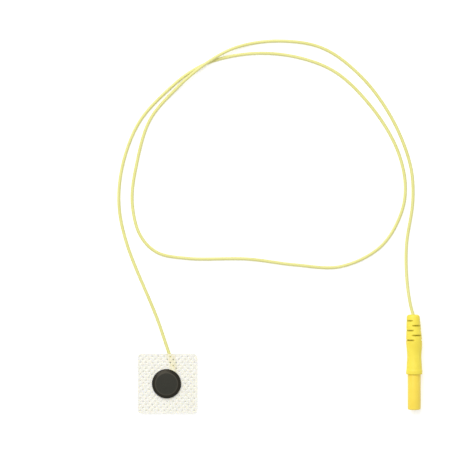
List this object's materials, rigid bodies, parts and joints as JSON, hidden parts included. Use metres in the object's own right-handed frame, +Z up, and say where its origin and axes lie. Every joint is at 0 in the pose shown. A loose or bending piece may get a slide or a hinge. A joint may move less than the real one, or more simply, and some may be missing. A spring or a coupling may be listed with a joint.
{
  "type": "electrode patch",
  "caption": "Small square adhesive electrode patch with a gel sensor under a round black button, a thin yellow lead and a moulded touch-proof socket at its end",
  "frame": {"origin": "middle of the patch's underside, which is the skin side", "axes": "+Z up through the sensor button, +Y towards the edge where the lead leaves the patch, +X towards the socket lying beside it"},
  "size_m": [0.1139, 0.1403, 0.0061],
  "materials": {
    "cloth": "soft perforated nonwoven",
    "foam": "matt closed foam",
    "gel": "clear moist gel",
    "silver_coating": "grey silver chloride coat on plastic",
    "black_button": "satin black",
    "yellow_insulation": "smooth soft plastic",
    "yellow_overmould": "satin moulded",
    "yellow_nose": "smooth moulded",
    "plated_contact": "bright plated",
    "tinned_conductor": "tinned strands"
  },
  "bodies": {
    "root": {"base_tape": "foam", "cover_cloth": "cloth", "gel_pad": "gel", "sensor_stud": "silver_coating", "sensor_cap": "black_button", "conductor_loop": "tinned_conductor", "lead_wire": "yellow_insulation", "connector_grip": "yellow_overmould", "socket_sleeve": "yellow_nose", "socket_contact": "plated_contact", "conductor_tail": "tinned_conductor"}
  },
  "joints": []
}
